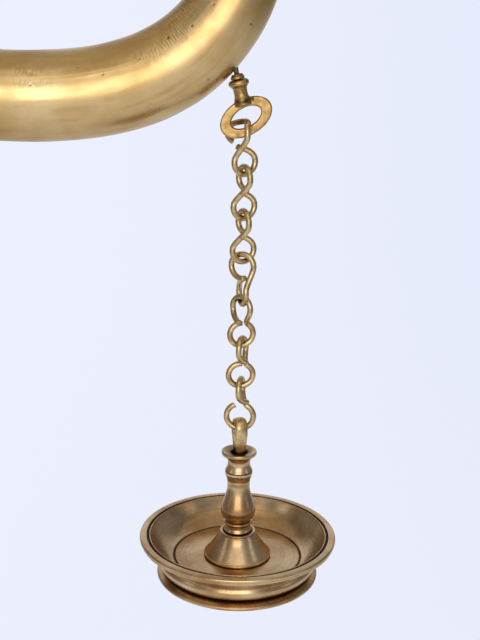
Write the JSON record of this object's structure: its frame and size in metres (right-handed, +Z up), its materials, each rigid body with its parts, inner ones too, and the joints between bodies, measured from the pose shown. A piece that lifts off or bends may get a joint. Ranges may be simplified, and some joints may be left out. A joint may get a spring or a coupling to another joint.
{
  "type": "hanging balance scale",
  "caption": "Brass hanging balance scale: a hollow crescent ring beam with an eye screw, wire chain and candlestick-like turned pan on each side, hung from a plain ring",
  "frame": {"origin": "the point inside the top of the hanging ring where a hook bears", "axes": "+Z up, +X from the left pan to the right pan, -Y to the front"},
  "size_m": [0.397, 0.13, 0.6034],
  "materials": {
    "cast_brass": "polished brass, slightly dented, with fine tool marks",
    "eye_brass": "cast brass, satin, dark in the corners",
    "wire_brass": "drawn brass wire, satin, lightly tarnished",
    "antique_brass": "turned brass with an antique brown patina in the grooves"
  },
  "bodies": {
    "hanger": {"hanging_ring": "wire_brass"},
    "beam": {"beam_ring": "cast_brass", "top_eye_screw": "eye_brass", "top_eye_ferrule": "eye_brass", "right_eye_screw": "eye_brass", "right_eye_ferrule": "eye_brass", "left_eye_screw": "eye_brass", "left_eye_ferrule": "eye_brass"},
    "right_link_1": {"right_link_1": "wire_brass"},
    "right_link_2": {"right_link_2": "wire_brass"},
    "right_link_3": {"right_link_3": "wire_brass"},
    "right_link_4": {"right_link_4": "wire_brass"},
    "right_link_5": {"right_link_5": "wire_brass"},
    "right_link_6": {"right_link_6": "wire_brass"},
    "right_link_7": {"right_link_7": "wire_brass"},
    "right_pan": {"right_pan_loop": "wire_brass", "right_pan_stem": "antique_brass", "right_pan_bell": "antique_brass", "right_pan_dish": "antique_brass", "right_pan_foot_ring": "antique_brass", "right_pan_nut": "eye_brass"},
    "left_link_1": {"left_link_1": "wire_brass"},
    "left_link_2": {"left_link_2": "wire_brass"},
    "left_link_3": {"left_link_3": "wire_brass"},
    "left_link_4": {"left_link_4": "wire_brass"},
    "left_link_5": {"left_link_5": "wire_brass"},
    "left_link_6": {"left_link_6": "wire_brass"},
    "left_link_7": {"left_link_7": "wire_brass"},
    "left_pan": {"left_pan_loop": "wire_brass", "left_pan_stem": "antique_brass", "left_pan_bell": "antique_brass", "left_pan_dish": "antique_brass", "left_pan_foot_ring": "antique_brass", "left_pan_nut": "eye_brass"}
  },
  "joints": [
    {"name": "beam_rock", "type": "hinge", "parent": "hanger", "child": "beam", "pos_m": [0, 0, -0.0335], "axis": [0, 1, 0], "range_deg": [-10, 10]},
    {"name": "right_link_1_swing", "type": "hinge", "parent": "beam", "child": "right_link_1", "pos_m": [0.13352, 0, -0.30552], "axis": [1, 0, 0], "range_deg": [-15, 15]},
    {"name": "right_link_2_swing", "type": "hinge", "parent": "right_link_1", "child": "right_link_2", "pos_m": [0.13352, 0, -0.32675], "axis": [-0.5, 0.866, 0], "range_deg": [-15, 15]},
    {"name": "right_link_3_swing", "type": "hinge", "parent": "right_link_2", "child": "right_link_3", "pos_m": [0.13352, 0, -0.35815], "axis": [0.866, 0.5, 0], "range_deg": [-15, 15]},
    {"name": "right_link_4_swing", "type": "hinge", "parent": "right_link_3", "child": "right_link_4", "pos_m": [0.13352, 0, -0.38112], "axis": [-0.829, 0.5592, 0], "range_deg": [-15, 15]},
    {"name": "right_link_5_swing", "type": "hinge", "parent": "right_link_4", "child": "right_link_5", "pos_m": [0.13352, 0, -0.41252], "axis": [0.4067, 0.9135, 0], "range_deg": [-15, 15]},
    {"name": "right_link_6_swing", "type": "hinge", "parent": "right_link_5", "child": "right_link_6", "pos_m": [0.13352, 0, -0.43549], "axis": [-0.342, 0.9397, 0], "range_deg": [-15, 15]},
    {"name": "right_link_7_swing", "type": "hinge", "parent": "right_link_6", "child": "right_link_7", "pos_m": [0.13352, 0, -0.46268], "axis": [-0.1736, 0.9848, 0], "range_deg": [-15, 15]},
    {"name": "right_pan_swing", "type": "hinge", "parent": "right_link_7", "child": "right_pan", "pos_m": [0.13352, 0, -0.49588], "axis": [0.9986, 0.0523, 0], "range_deg": [-15, 15]},
    {"name": "left_link_1_swing", "type": "hinge", "parent": "beam", "child": "left_link_1", "pos_m": [-0.13352, 0, -0.30552], "axis": [1, 0, 0], "range_deg": [-15, 15]},
    {"name": "left_link_2_swing", "type": "hinge", "parent": "left_link_1", "child": "left_link_2", "pos_m": [-0.13352, 0, -0.32675], "axis": [-0.5, 0.866, 0], "range_deg": [-15, 15]},
    {"name": "left_link_3_swing", "type": "hinge", "parent": "left_link_2", "child": "left_link_3", "pos_m": [-0.13352, 0, -0.35815], "axis": [0.866, 0.5, 0], "range_deg": [-15, 15]},
    {"name": "left_link_4_swing", "type": "hinge", "parent": "left_link_3", "child": "left_link_4", "pos_m": [-0.13352, 0, -0.38112], "axis": [-0.829, 0.5592, 0], "range_deg": [-15, 15]},
    {"name": "left_link_5_swing", "type": "hinge", "parent": "left_link_4", "child": "left_link_5", "pos_m": [-0.13352, 0, -0.41252], "axis": [0.4067, 0.9135, 0], "range_deg": [-15, 15]},
    {"name": "left_link_6_swing", "type": "hinge", "parent": "left_link_5", "child": "left_link_6", "pos_m": [-0.13352, 0, -0.43549], "axis": [-0.342, 0.9397, 0], "range_deg": [-15, 15]},
    {"name": "left_link_7_swing", "type": "hinge", "parent": "left_link_6", "child": "left_link_7", "pos_m": [-0.13352, 0, -0.46268], "axis": [-0.1736, 0.9848, 0], "range_deg": [-15, 15]},
    {"name": "left_pan_swing", "type": "hinge", "parent": "left_link_7", "child": "left_pan", "pos_m": [-0.13352, 0, -0.49588], "axis": [0.9986, 0.0523, 0], "range_deg": [-15, 15]}
  ]
}
